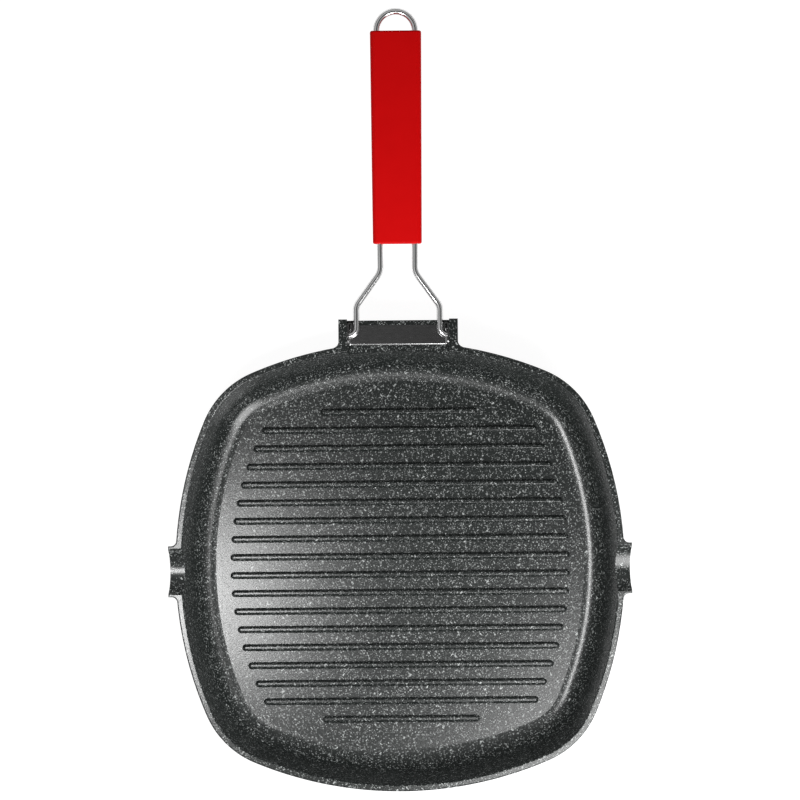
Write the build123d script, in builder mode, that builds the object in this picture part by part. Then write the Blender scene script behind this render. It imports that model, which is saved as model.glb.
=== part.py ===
"""Folding-handle grill pan: a cast aluminium pan with cooking ribs, two pouring lips and a handle
bracket, a steel saddle between the bracket's ears, and a bent wire handle in a silicone sleeve.

Millimetres. The origin is the centre of the base's underside, +Z is up and +Y runs along the open
handle, away from the pan. Left and right are mirror images across X = 0.
"""

import math
import os

from build123d import *

# Pan body, measured over the rim
pan_width = 284.0
pan_length = 284.0
pan_height = 42.0
side_arc_radius = 238.0
corner_radius = 57.0
wall_draft = 15.0
rim_width = 4.0
rim_rounding = 0.8
floor_thickness = 4.0
floor_fillet = 14.0
base_fillet = 7.0

# Cooking ribs: their ends follow an arc, and the first and last ribs are short
rib_count = 18
rib_pitch = 11.5
rib_width = 4.6
rib_height = 2.8
rib_draft = 26.0
rib_top_rounding = 0.8
rib_reach = 108.1
rib_end_arc_radius = 190.0
end_rib_reach = 50.0

# Pouring lips, one on each side, a little in front of the pan's middle
lip_middle_y = -2.0
lip_width = 32.5
lip_reach = 4.5
lip_height = 14.0
lip_draft = 10.0
lip_undercut = 5.0
lip_flare_radius = 3.2
trough_width = 29.5
trough_depth = 7.5

# Handle bracket, cast with the pan
bracket_width = 75.7
bracket_reach = 14.4
bracket_height = 16.0
bracket_draft = 8.0
bracket_undercut = 6.0
bracket_flare_radius = 4.0
bracket_gap_inside = 12.0
ear_gap = 64.4
stop_bar_width = 3.7

# Handle pivot, which is the wire's two tips in blind holes in the ears
pivot_setback = 10.4
pivot_below_rim = 4.2
pivot_hole_depth = 4.6
pivot_clearance = 0.08
tip_end_gap = 0.6
tip_chamfer = 0.4
stop_clearance = 0.2

# Wire handle, with lengths measured from the pivot axis
wire_diameter = 4.0
leg_spacing = 52.8
pivot_bend_radius = 5.0
shoulder_distance = 18.6
shoulder_bend_radius = 8.0
neck_distance = 40.0
neck_spacing = 21.8
neck_bend_radius = 10.0
loop_distance = 192.3
loop_radius = 12.2

# Steel saddle, a folded sheet that lines the bracket
saddle_thickness = 1.0
saddle_length = 12.6
saddle_bend_radius = 2.2
saddle_side_clearance = 0.1
saddle_end_clearance = 0.15
flange_top_margin = 1.2
flange_corner_radius = 3.0
curl_radius = 1.7
curl_return = 2.4
curl_clearance = 0.3

# Silicone sleeve
sleeve_start = 57.7
sleeve_length = 134.4
sleeve_width_at_neck = 30.9
sleeve_width_at_loop = 32.4
sleeve_thickness = 13.0
sleeve_corner_radius = 3.0
sleeve_end_rounding = 1.2
sleeve_fit = 0.1

# Working margins: how far cuts reach past what they cut, how far an arm's plan reaches into the pan,
# how much of an arm's flares is cut off beside their tangent points, and how closely two places
# count as one
cut_margin = 1.0
arm_inside = 30.0
flare_trim = 1.0
touching = 0.01

# Sizes and places worked out from the values above
half_width = pan_width / 2
half_length = pan_length / 2
draft_slope = math.tan(math.radians(wall_draft))
cavity_depth = pan_height - floor_thickness
base_inset = pan_height * draft_slope
floor_inset = rim_width + cavity_depth * draft_slope
bracket_end = half_length + bracket_reach
ear_face_x = ear_gap / 2
wire_radius = wire_diameter / 2
pivot_y = bracket_end - pivot_setback
pivot_z = pan_height - pivot_below_rim
pivot_hole_radius = wire_radius + pivot_clearance
stop_bar_top = pivot_z - wire_radius - stop_clearance
saddle_seat = stop_bar_top - saddle_thickness
stop_bar_face = bracket_end - stop_bar_width
saddle_far_y = stop_bar_face - saddle_end_clearance
saddle_near_y = saddle_far_y - saddle_length
saddle_face_x = ear_face_x - saddle_side_clearance
flange_top = pan_height - flange_top_margin
curl_inner_x = saddle_face_x - 2 * curl_radius
stop_bar_end_x = curl_inner_x - curl_clearance
sleeve_near_y = pivot_y + sleeve_start
sleeve_far_y = sleeve_near_y + sleeve_length


def pan_outline(inset=0.0, height=0.0):
    """The pan's plan outline, a square with bowed sides, drawn in by inset and lying at height."""
    arc_radius = side_arc_radius - inset
    side_centre = side_arc_radius - half_width
    end_centre = side_arc_radius - half_length
    with BuildSketch(Plane.XY.offset(height)) as outline:
        with Locations((side_centre, 0)):
            Circle(arc_radius)
        for centre in ((-side_centre, 0), (0, end_centre), (0, -end_centre)):
            with Locations(centre):
                Circle(arc_radius, mode=Mode.INTERSECT)
        fillet(outline.vertices(), corner_radius - inset)
    return outline.sketch


def drafted_block(low_inset, low_height, high_inset, high_height, bottom_fillet):
    """A block with the pan's outline and drafted sides, its bottom edge rounded."""
    with BuildPart() as block:
        add(pan_outline(low_inset, low_height))
        add(pan_outline(high_inset, high_height))
        loft(ruled=True)
        fillet(block.faces().sort_by(Axis.Z)[0].edges(), bottom_fillet)
    return block.part


def rim_arm(turn, middle, edge, reach, width, height, draft, flare_radius, undercut):
    """An arm on the outside of the rim, turned anticlockwise by turn from +X.

    It leaves the rim at edge and goes reach past it, middle to the left of a line from the pan's
    centre, with flares at its root, drafted sides, a rounded top edge and an undercut tip. Its inner
    end lies in the middle of the pan's wall.
    """
    tip = edge + reach
    depth = arm_inside + reach
    window = width + 2 * (flare_radius - flare_trim)
    turned = Location((0, 0, 0), (0, 0, -turn))
    mid_wall = drafted_block(base_inset + rim_width / 2, 0, rim_width / 2, pan_height, base_fillet)
    with BuildPart() as arm:
        with BuildSketch(Plane.XY.offset(pan_height)) as plan:
            add(turned * pan_outline(height=pan_height))
            with Locations((tip - depth / 2, middle)):
                Rectangle(depth, width)
            beside = plan.vertices().filter_by(lambda v: abs(abs(v.Y - middle) - width / 2) < touching and v.X > 0)
            fillet(beside.sort_by(Axis.X)[:2], flare_radius)
            with Locations((tip - depth / 2, middle)):
                Rectangle(depth, window, mode=Mode.INTERSECT)
        extrude(amount=-height, taper=draft)
        top_edges = arm.edges().group_by(Axis.Z)[-1]
        fillet(top_edges.filter_by(lambda e: e.center().X > edge - reach), rim_rounding)
        low_tip = tip - height * math.tan(math.radians(draft))
        low = pan_height - height
        with BuildSketch(Plane.XZ):
            with BuildLine():
                Polyline(
                    (low_tip - undercut - cut_margin, low - cut_margin),
                    (low_tip + undercut, low + 2 * undercut),
                    (low_tip + undercut, low - cut_margin),
                    close=True,
                )
            make_face()
        extrude(amount=width, both=True, mode=Mode.SUBTRACT)
        add(turned * mid_wall, mode=Mode.SUBTRACT)
    return Location((0, 0, 0), (0, 0, turn)) * arm.part


def rib_half_length(row_y, last_row_y):
    """Half the length of the rib whose middle line is at row_y."""
    if abs(row_y) > last_row_y - rib_pitch / 2:
        return end_rib_reach
    return rib_reach - rib_end_arc_radius + math.sqrt(rib_end_arc_radius**2 - row_y**2)


# Cooking ribs, rounded bars that start inside the floor
with BuildPart() as ribs:
    last_row_y = rib_pitch * (rib_count - 1) / 2
    with BuildSketch(Plane.XY.offset(floor_thickness)):
        for row in range(rib_count):
            row_y = row * rib_pitch - last_row_y
            with Locations((0, row_y)):
                SlotOverall(2 * rib_half_length(row_y, last_row_y), rib_width)
    extrude(amount=rib_height, taper=rib_draft)
    fillet(ribs.edges().group_by(Axis.Z)[-1], rib_top_rounding)

lip = rim_arm(
    0,
    lip_middle_y,
    half_width,
    lip_reach,
    lip_width,
    lip_height,
    lip_draft,
    lip_flare_radius,
    lip_undercut,
)
bracket = rim_arm(
    90,
    0,
    half_length,
    bracket_reach,
    bracket_width,
    bracket_height,
    bracket_draft,
    bracket_flare_radius,
    bracket_undercut,
)

# Pan body: the drafted shell, its ribs and arms, and the cuts in the lips and the bracket
with BuildPart() as pan_body:
    add(drafted_block(base_inset, 0, 0, pan_height, base_fillet))
    cavity_top_inset = rim_width - cut_margin * draft_slope
    cavity_top = pan_height + cut_margin
    add(
        drafted_block(floor_inset, floor_thickness, cavity_top_inset, cavity_top, floor_fillet),
        mode=Mode.SUBTRACT,
    )
    fillet(pan_body.faces().sort_by(Axis.Z)[-1].edges(), rim_rounding)
    add(ribs.part)
    add(lip)
    add(lip.mirror(Plane.YZ))
    add(bracket)

    # Pouring troughs, one cylinder across each lip
    trough_radius = (trough_width**2 / 4 + trough_depth**2) / (2 * trough_depth)
    trough_axis_z = pan_height - trough_depth + trough_radius
    for side in (-1, 1):
        trough_centre = side * (half_width + lip_reach / 2)
        with Locations(Location((trough_centre, lip_middle_y, trough_axis_z), (0, 90, 0))):
            Cylinder(trough_radius, lip_reach + 6 * rim_width, mode=Mode.SUBTRACT)

    # The gap between the ears, down to the saddle's seat, with the stop bar left at its far edge
    gap_near_y = half_length - bracket_gap_inside
    with BuildSketch(Plane.XY.offset(saddle_seat)):
        with Locations((0, (gap_near_y + stop_bar_face) / 2)):
            Rectangle(ear_gap, stop_bar_face - gap_near_y)
        for side in (-1, 1):
            notch_width = ear_face_x - stop_bar_end_x
            with Locations((side * (stop_bar_end_x + notch_width / 2), stop_bar_face)):
                Rectangle(notch_width, 2 * (curl_radius + curl_clearance))
    extrude(amount=pan_height, mode=Mode.SUBTRACT)
    with BuildSketch(Plane.XY.offset(stop_bar_top)):
        with Locations((0, (stop_bar_face + bracket_end + cut_margin) / 2)):
            Rectangle(ear_gap, bracket_end + cut_margin - stop_bar_face)
    extrude(amount=pan_height, mode=Mode.SUBTRACT)

    # Blind holes for the wire's tips
    for side in (-1, 1):
        hole_centre_x = side * (ear_face_x + pivot_hole_depth / 2)
        with Locations(Location((hole_centre_x, pivot_y, pivot_z), (0, 90, 0))):
            Cylinder(pivot_hole_radius, pivot_hole_depth, mode=Mode.SUBTRACT)

# Saddle: a web under the wire and two flanges along the ears, each with its far edge curled back
with BuildPart() as hinge_saddle:
    with BuildSketch(Plane.XZ.offset(-saddle_near_y)):
        with Locations((0, (saddle_seat + flange_top) / 2)):
            Rectangle(2 * saddle_face_x, flange_top - saddle_seat)
        with Locations((0, (saddle_seat + saddle_thickness + flange_top) / 2)):
            inner_width = 2 * (saddle_face_x - saddle_thickness)
            Rectangle(inner_width, flange_top - saddle_seat - saddle_thickness, mode=Mode.SUBTRACT)
    extrude(amount=-saddle_length)
    bend_edges = hinge_saddle.edges().filter_by(Axis.Y).group_by(Axis.Z)
    fillet(bend_edges[1], saddle_bend_radius - saddle_thickness)
    fillet(hinge_saddle.edges().filter_by(Axis.Y).group_by(Axis.Z)[0], saddle_bend_radius)
    top_edges = hinge_saddle.edges().filter_by(Axis.X).group_by(Axis.Z)[-1]
    fillet(top_edges.group_by(Axis.Y)[0], flange_corner_radius)
    with BuildSketch(Plane.XY.offset(saddle_seat + saddle_bend_radius)):
        for side in (-1, 1):
            with Locations((side * (saddle_face_x - curl_radius), saddle_far_y)):
                Circle(curl_radius)
                Circle(curl_radius - saddle_thickness, mode=Mode.SUBTRACT)
        with Locations((0, saddle_far_y - curl_radius)):
            Rectangle(2 * saddle_face_x, 2 * curl_radius, mode=Mode.SUBTRACT)
        for side in (-1, 1):
            with Locations((side * (curl_inner_x + saddle_thickness / 2), saddle_far_y - curl_return / 2)):
                Rectangle(saddle_thickness, curl_return)
    extrude(amount=flange_top - saddle_seat - saddle_bend_radius)
    with Locations(Location((0, pivot_y, pivot_z), (0, 90, 0))):
        Cylinder(pivot_hole_radius, 2 * ear_face_x, mode=Mode.SUBTRACT)

# Centre line of the wire: tip, bend at the pivot, splayed legs, and a loop that the legs meet square
leg_x = leg_spacing / 2
tip_x = ear_face_x + pivot_hole_depth - tip_end_gap
neck_x = neck_spacing / 2
neck_y = pivot_y + neck_distance
loop_y = pivot_y + loop_distance
neck_to_loop = math.hypot(neck_x, loop_y - neck_y)
loop_angle = math.acos(loop_radius / neck_to_loop) - math.atan2(loop_y - neck_y, neck_x)
loop_start_x = loop_radius * math.cos(loop_angle)
loop_start_y = loop_y + loop_radius * math.sin(loop_angle)
with BuildLine(Plane.XY.offset(pivot_z)) as wire_line:
    half_of_wire = FilletPolyline(
        (tip_x, pivot_y),
        (leg_x, pivot_y),
        (leg_x, pivot_y + shoulder_distance),
        (neck_x, neck_y),
        (loop_start_x, loop_start_y),
        radius=(pivot_bend_radius, shoulder_bend_radius, neck_bend_radius),
    )
    ThreePointArc((loop_start_x, loop_start_y), (0, loop_y + loop_radius), (-loop_start_x, loop_start_y))
    mirror(half_of_wire, about=Plane.YZ)


def along_the_wire(radius):
    """A round bar of the given radius along the wire's centre line."""
    with BuildPart() as bar:
        path = wire_line.wires()[0]
        with BuildSketch(Plane(origin=path @ 0, z_dir=path % 0)):
            Circle(radius)
        sweep(path=path)
    return bar.part


with BuildPart() as wire_handle:
    add(along_the_wire(wire_radius))
    tips = wire_handle.faces().filter_by(GeomType.PLANE)
    chamfer(tips.edges(), tip_chamfer)

# Sleeve: a flat grip with two channels for the wire's legs
with BuildPart() as grip_sleeve:
    for section_y, width in ((sleeve_near_y, sleeve_width_at_neck), (sleeve_far_y, sleeve_width_at_loop)):
        with BuildSketch(Plane.XZ.offset(-section_y)):
            with Locations((0, pivot_z)):
                RectangleRounded(width, sleeve_thickness, sleeve_corner_radius)
    loft()
    end_faces = grip_sleeve.faces().filter_by(Axis.Y)
    fillet(end_faces.edges(), sleeve_end_rounding)
    add(along_the_wire(wire_radius + sleeve_fit), mode=Mode.SUBTRACT)

os.makedirs("parts", exist_ok=True)
for name, piece in (
    ("pan_body", pan_body),
    ("hinge_saddle", hinge_saddle),
    ("wire_handle", wire_handle),
    ("grip_sleeve", grip_sleeve),
):
    piece.part.label = name
    export_step(piece.part, f"parts/{name}.step")
    print(name, round(piece.part.volume), piece.part.is_valid, len(piece.part.solids()))
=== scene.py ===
"""Looks of the folding-handle grill pan: finishes for its four pieces, a white studio, and the camera.

Metres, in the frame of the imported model: the origin is the centre of the base, +Z is up and +Y runs
along the open handle. Textures are measured in millimetres of the same frame.
"""

import math
from typing import NamedTuple

import bpy
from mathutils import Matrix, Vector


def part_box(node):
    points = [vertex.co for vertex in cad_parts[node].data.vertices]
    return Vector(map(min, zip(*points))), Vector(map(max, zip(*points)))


MILLIMETRES = 1000.0

# The photograph, in pixels of its 800 x 800 frame, and the scale that its outline gives at the rim
IMAGE_SIZE = 800
PAN_CENTRE_PX = (400.16, 566.7)
METRES_PER_PIXEL = 0.0006306
CAMERA_ABOVE_RIM = 4.0
CAMERA_ROLL = math.radians(0.5)
SENSOR_WIDTH = 36.0

# The studio's plain light: how bright it is at each height of its direction, from level to overhead,
# and a dark patch near the zenith, leaning to +X, where a polished piece sees the camera's side
SKY = ((0.0, 0.12), (0.25, 0.18), (0.55, 0.30), (0.85, 0.42))
DARK_PATCH_LEAN = math.radians(13)
DARK_PATCH_EDGE = (0.90, 0.955)
DARK_PATCH_BRIGHTNESS = 0.03


class Signal:
    """One output socket of a shader's node. Arithmetic on signals adds the Math nodes for it."""

    def __init__(self, finish, socket):
        self.finish = finish
        self.socket = socket

    def math(self, operation, *values):
        return self.finish.node("Math", {"operation": operation}, dict(enumerate(values)))

    def __add__(self, other):
        return self.math("ADD", self, other)

    def __radd__(self, other):
        return self.math("ADD", other, self)

    def __sub__(self, other):
        return self.math("SUBTRACT", self, other)

    def __rsub__(self, other):
        return self.math("SUBTRACT", other, self)

    def __mul__(self, other):
        return self.math("MULTIPLY", self, other)

    def __lt__(self, other):
        return self.math("LESS_THAN", self, other)

    def __pow__(self, other):
        return self.math("POWER", self, other)

    def __abs__(self):
        return self.math("ABSOLUTE", self)

    def between(self, low, high):
        """0 below low, 1 above high, and a smooth step between them."""
        sockets = {"Value": self, "From Min": low, "From Max": high}
        return self.finish.node("MapRange", {"interpolation_type": "SMOOTHSTEP"}, sockets)

    def larger(self, other):
        return self.math("MAXIMUM", self, other)

    def beside(self, output):
        """Another output of the node that made this signal."""
        return Signal(self.finish, self.socket.node.outputs[output])


class Finish:
    """A node-based material or world, with one method for each kind of texture."""

    def __init__(self, owner):
        self.owner = owner
        owner.use_nodes = True
        self.tree = owner.node_tree
        self.tree.nodes.clear()

    def node(self, kind, settings=None, sockets=None, output=0):
        """Adds a ShaderNode of that kind: settings first, then each socket's number, colour or signal."""
        made = self.tree.nodes.new("ShaderNode" + kind)
        for name, value in (settings or {}).items():
            setattr(made, name, value)
        for name, value in (sockets or {}).items():
            if isinstance(value, Signal):
                self.tree.links.new(value.socket, made.inputs[name])
            else:
                made.inputs[name].default_value = value
        return Signal(self, made.outputs[output]) if made.outputs else None

    def ramp(self, value, stops):
        """Greys at rising values, blended in between."""
        shade = self.node("ValToRGB", None, {0: value})
        ramp = shade.socket.node.color_ramp
        while len(ramp.elements) < len(stops):
            ramp.elements.new(0.5)
        for element, (position, level) in zip(ramp.elements, stops):
            element.position = position
            element.color = grey(level)
        return shade

    def vector(self, operation, first, second, output=0):
        return self.node("VectorMath", {"operation": operation}, {0: first, 1: second}, output)

    def scaled(self, vector, factor):
        """A vector times a number or times three numbers."""
        factors = factor if isinstance(factor, tuple) else (factor,) * 3
        return self.vector("MULTIPLY", vector, factors)

    def component(self, vector, axis):
        """The X, Y or Z of a vector, for axis 0, 1 or 2."""
        return self.node("SeparateXYZ", None, {0: vector}, output=axis)

    def mixed(self, mask, colour_a, colour_b):
        """colour_a where the mask is 0, colour_b where it is 1."""
        sockets = {"Factor": mask, 6: colour_a, 7: colour_b}
        return self.node("Mix", {"data_type": "RGBA"}, sockets, output=2)

    def place(self):
        """The point on the piece, in millimetres of the part's frame."""
        coordinates = self.node("TexCoord", output=3)
        return self.scaled(coordinates, MILLIMETRES)

    def facing_up(self):
        """How far the surface faces up, from -1 to 1, in the part's frame."""
        normal = self.node("TexCoord", output=1)
        return self.component(normal, 2)

    def noise(self, place, grain, detail=2.0, roughness=0.5, output=0):
        """Noise from 0 to 1 whose features are about grain millimetres across."""
        sockets = {"Vector": place, "Scale": 1 / grain, "Detail": detail, "Roughness": roughness}
        return self.node("TexNoise", None, sockets, output)

    def cells(self, place, pitch):
        """Cells about pitch millimetres apart: millimetres to a cell's middle, and its two random numbers."""
        distance = self.node("TexVoronoi", {"feature": "F1"}, {"Vector": place, "Scale": 1 / pitch})
        first = self.node("SeparateColor", None, {0: distance.beside("Color")})
        return distance * pitch, first, first.beside(1)

    def bump(self, height, depth, under=None):
        """A normal from a height of 0 to 1 that stands depth millimetres proud."""
        sockets = {"Height": height, "Strength": 1.0, "Distance": depth / MILLIMETRES}
        if under is not None:
            sockets["Normal"] = under
        return self.node("Bump", None, sockets)

    def surface(self, **sockets):
        """Ends a material with a Principled shader; a socket's name has _ for its spaces."""
        named = {name.replace("_", " "): value for name, value in sockets.items()}
        shader = self.node("BsdfPrincipled", None, named)
        self.node("OutputMaterial", None, {"Surface": shader})
        return self.owner


class SpeckLayer(NamedTuple):
    """One size of specks: millimetres, radians, and shares from 0 to 1."""

    pitch: float  # from one possible speck to the next
    radius: float
    share: float  # of the possible specks that are there
    turn: float  # of the long side from +X
    stretch: float  # 1 for round specks, less for dashes
    rarity: float  # a higher power makes more of the specks dim
    strength: float  # of the brightest one


SPECK_LAYERS = (
    SpeckLayer(pitch=1.0, radius=0.36, share=0.85, turn=0.0, stretch=1.0, rarity=1.7, strength=0.38),
    SpeckLayer(pitch=1.6, radius=0.42, share=0.8, turn=0.9, stretch=1.0, rarity=1.3, strength=0.50),
    SpeckLayer(pitch=2.4, radius=0.40, share=0.7, turn=-0.7, stretch=0.4, rarity=1.0, strength=0.54),
    SpeckLayer(pitch=3.3, radius=0.46, share=0.6, turn=0.8, stretch=0.4, rarity=0.7, strength=0.64),
)


def new_finish(name):
    return Finish(bpy.data.materials.new(name))


def grey(level):
    return (level, level, level, 1.0)


def specks(finish, place, ruffle, layer):
    """One layer of specks: a mask from 0 to 1, and each speck's random number from 0 to 1."""
    soft_edge = (-0.08, 0.1)
    turned = finish.node(
        "VectorRotate",
        {"rotation_type": "EULER_XYZ"},
        {"Vector": place, "Rotation": (0, 0, layer.turn)},
    )
    moved = finish.vector("ADD", turned, finish.scaled(ruffle, layer.pitch / 2))
    distance, chance, brightness = finish.cells(finish.scaled(moved, (1.0, layer.stretch, 1.0)), layer.pitch)
    mask = (layer.radius - distance).between(*soft_edge)
    return mask * (chance < layer.share), brightness


def speckled_coating():
    """Dark grey non-stick coating, densely sprinkled with grey and white specks and short dashes."""
    finish = new_finish("speckled_coating")
    place = finish.place()
    ruffle = finish.vector("SUBTRACT", finish.noise(place, 0.9, 1.0, output=1), (0.5,) * 3)
    cloud = finish.noise(place, 30.0, 3.0)
    peel = finish.noise(place, 0.7, 1.0)

    # Painted shade: the specks are made dimmer on the steep walls than on the floor, by how far the surface
    # faces up
    share_up = finish.facing_up().between(0.2, 0.75)
    painted_wall_shade = 0.7 + share_up * 0.3

    colour = finish.mixed(cloud, (0.0070, 0.0092, 0.0086, 1.0), (0.0110, 0.0135, 0.0126, 1.0))
    raised = 0.0
    for layer in SPECK_LAYERS:
        mask, brightness = specks(finish, place, ruffle, layer)
        cover = mask * brightness**layer.rarity * painted_wall_shade * layer.strength
        colour = finish.mixed(cover, colour, (0.66, 0.69, 0.68, 1.0))
        raised = mask + raised
    return finish.surface(
        Base_Color=colour,
        Roughness=0.235 + cloud * 0.02,
        Normal=finish.bump(raised * 0.5 + peel, 0.022),
        Specular_IOR_Level=0.62,
    )


def saddle_steel():
    """Bright rolled sheet with faint rolling marks along the bend line and a rounded near edge."""
    finish = new_finish("saddle_steel")
    place = finish.place()
    marks = finish.noise(finish.scaled(place, (0.08, 1.0, 1.0)), 0.25, 3.0)
    blotch = finish.noise(place, 6.0, 2.0)
    colour = finish.mixed(blotch, grey(0.50), grey(0.60))

    # The edge falls away over the last 0.9 mm, as a sheet's edge does
    near_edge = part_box("hinge_saddle")[0].y * MILLIMETRES
    rounded = (finish.component(place, 1) - near_edge).between(-0.6, 0.9)
    return finish.surface(
        Base_Color=colour,
        Metallic=1.0,
        Roughness=0.12 + marks * 0.1,
        Normal=finish.bump(marks, 0.004, under=finish.bump(rounded, 0.5)),
    )


def chromed_wire():
    """Polished chrome plate with fine rub marks, darker where it is seen at a glancing angle."""
    finish = new_finish("chromed_wire")
    place = finish.place()
    rubs = finish.noise(finish.scaled(place, (1.0, 0.2, 1.0)), 0.5, 3.0)
    haze = finish.noise(place, 9.0, 2.0)
    colour = finish.mixed(haze, grey(0.86), grey(0.94))
    return finish.surface(
        Base_Color=colour,
        Metallic=1.0,
        Roughness=0.14 + rubs * 0.1,
        Normal=finish.bump(rubs, 0.003),
        Specular_Tint=grey(0.15),
    )


def red_silicone():
    """Moulded red silicone: a soft sheen, a fine even texture and a faint mould line around the middle."""
    finish = new_finish("red_silicone")
    place = finish.place()
    grain = finish.noise(place, 0.35, 2.0)
    ripple = finish.noise(place, 14.0, 2.0)
    colour = finish.mixed(ripple, (0.63, 0.0008, 0.0014, 1.0), (0.69, 0.0014, 0.0022, 1.0))

    low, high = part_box("grip_sleeve")
    mould_line_height = (low.z + high.z) / 2 * MILLIMETRES
    mould_line = 1 - abs(finish.component(place, 2) - mould_line_height).between(0.05, 0.25)
    return finish.surface(
        Base_Color=colour,
        Roughness=0.42 + grain * 0.1,
        Normal=finish.bump(grain * 0.25 + ripple * 2.0 + mould_line * 1.5, 0.05),
        Specular_IOR_Level=0.08,
    )


def white_backdrop():
    """A white floor that looks white to the camera and in reflections, and still takes a soft shadow."""
    finish = new_finish("white_backdrop")
    camera_ray = finish.node("LightPath", output="Is Camera Ray")
    glossy_ray = camera_ray.beside("Is Glossy Ray")
    transmission_ray = camera_ray.beside("Is Transmission Ray")
    seen = camera_ray.larger(glossy_ray).larger(transmission_ray)
    paper = finish.node("BsdfDiffuse", None, {"Color": grey(0.8)})
    shadowed = finish.node("BsdfDiffuse", None, {"Color": grey(0.3)})
    lit = finish.node("Emission", None, {"Color": grey(1.0), "Strength": 0.92})
    glow = finish.node("AddShader", None, {0: shadowed, 1: lit})
    shader = finish.node("MixShader", None, {0: seen, 1: paper, 2: glow})
    finish.node("OutputMaterial", None, {"Surface": shader})
    return finish.owner


def studio_world():
    """Soft light from all round with a dark patch near the zenith, and plain white to the camera."""
    finish = Finish(bpy.data.worlds.new("studio"))
    direction = finish.node("TexCoord", output=0)
    sky = finish.ramp(finish.component(direction, 2), SKY)
    patch_middle = (math.sin(DARK_PATCH_LEAN), 0.0, math.cos(DARK_PATCH_LEAN))
    nearness = finish.vector("DOT_PRODUCT", direction, patch_middle, output=1)
    studio = finish.mixed(nearness.between(*DARK_PATCH_EDGE), sky, grey(DARK_PATCH_BRIGHTNESS))
    camera_ray = finish.node("LightPath", output="Is Camera Ray")
    colour = finish.mixed(camera_ray, studio, grey(1.0))
    shader = finish.node("Background", None, {"Color": colour, "Strength": 1.0})
    finish.node("OutputWorld", None, {"Surface": shader})
    return finish.owner


def softbox(name, place, size, power):
    """A rectangular lamp at place that faces the centre of the pan's base, hidden from the camera."""
    data = bpy.data.lights.new(name, "AREA")
    data.shape = "RECTANGLE"
    data.size, data.size_y = size
    data.energy = power
    lamp = bpy.data.objects.new(name, data)
    scene.collection.objects.link(lamp)
    lamp.location = place
    lamp.rotation_euler = (-Vector(place)).to_track_quat("-Z", "Y").to_euler()
    lamp.visible_camera = False


def overhead_camera(rim_height):
    """The photograph's camera: straight down from above the image's centre, turned by its small roll."""
    data = bpy.data.cameras.new("overhead")
    data.sensor_width = SENSOR_WIDTH
    data.lens = CAMERA_ABOVE_RIM / METRES_PER_PIXEL * SENSOR_WIDTH / IMAGE_SIZE
    data.clip_end = 10.0
    camera = bpy.data.objects.new("overhead", data)
    scene.collection.objects.link(camera)
    right = Vector((math.cos(CAMERA_ROLL), -math.sin(CAMERA_ROLL), 0))
    up = Vector((math.sin(CAMERA_ROLL), math.cos(CAMERA_ROLL), 0))
    across = (PAN_CENTRE_PX[0] - IMAGE_SIZE / 2) * METRES_PER_PIXEL
    below = (PAN_CENTRE_PX[1] - IMAGE_SIZE / 2) * METRES_PER_PIXEL
    camera.location = up * below - right * across
    camera.location.z = rim_height + CAMERA_ABOVE_RIM
    camera.rotation_euler = (0, 0, -CAMERA_ROLL)
    scene.camera = camera


def floor():
    """The white floor under the pan, wide enough to fill every view."""
    half_side = 6.0
    below_base = -0.0002
    mesh = bpy.data.meshes.new("floor")
    corners = [(x * half_side, y * half_side, below_base) for x, y in ((-1, -1), (1, -1), (1, 1), (-1, 1))]
    mesh.from_pydata(corners, [], [(0, 1, 2, 3)])
    mesh.materials.append(white_backdrop())
    made = bpy.data.objects.new("floor", mesh)
    scene.collection.objects.link(made)


def dress(node, material):
    """Gives a CAD node its finish."""
    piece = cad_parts[node]
    piece.data.materials.clear()
    piece.data.materials.append(material)


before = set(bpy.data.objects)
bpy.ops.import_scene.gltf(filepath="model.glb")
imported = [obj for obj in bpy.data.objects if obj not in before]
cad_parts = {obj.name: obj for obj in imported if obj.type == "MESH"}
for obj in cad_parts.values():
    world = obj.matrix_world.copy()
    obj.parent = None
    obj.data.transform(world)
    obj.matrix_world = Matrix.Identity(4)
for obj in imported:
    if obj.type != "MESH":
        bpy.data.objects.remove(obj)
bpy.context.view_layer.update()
scene = bpy.context.scene
scene.view_settings.view_transform = "Standard"

overhead_camera(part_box("pan_body")[1].z)
scene.world = studio_world()
floor()
softbox("left_softbox", place=(-0.149, -0.035, 0.461), size=(0.096, 0.105), power=0.90)
softbox("right_softbox", place=(0.205, -0.205, 0.350), size=(0.239, 0.380), power=2.5)

dress("pan_body", speckled_coating())
dress("hinge_saddle", saddle_steel())
dress("wire_handle", chromed_wire())
dress("grip_sleeve", red_silicone())
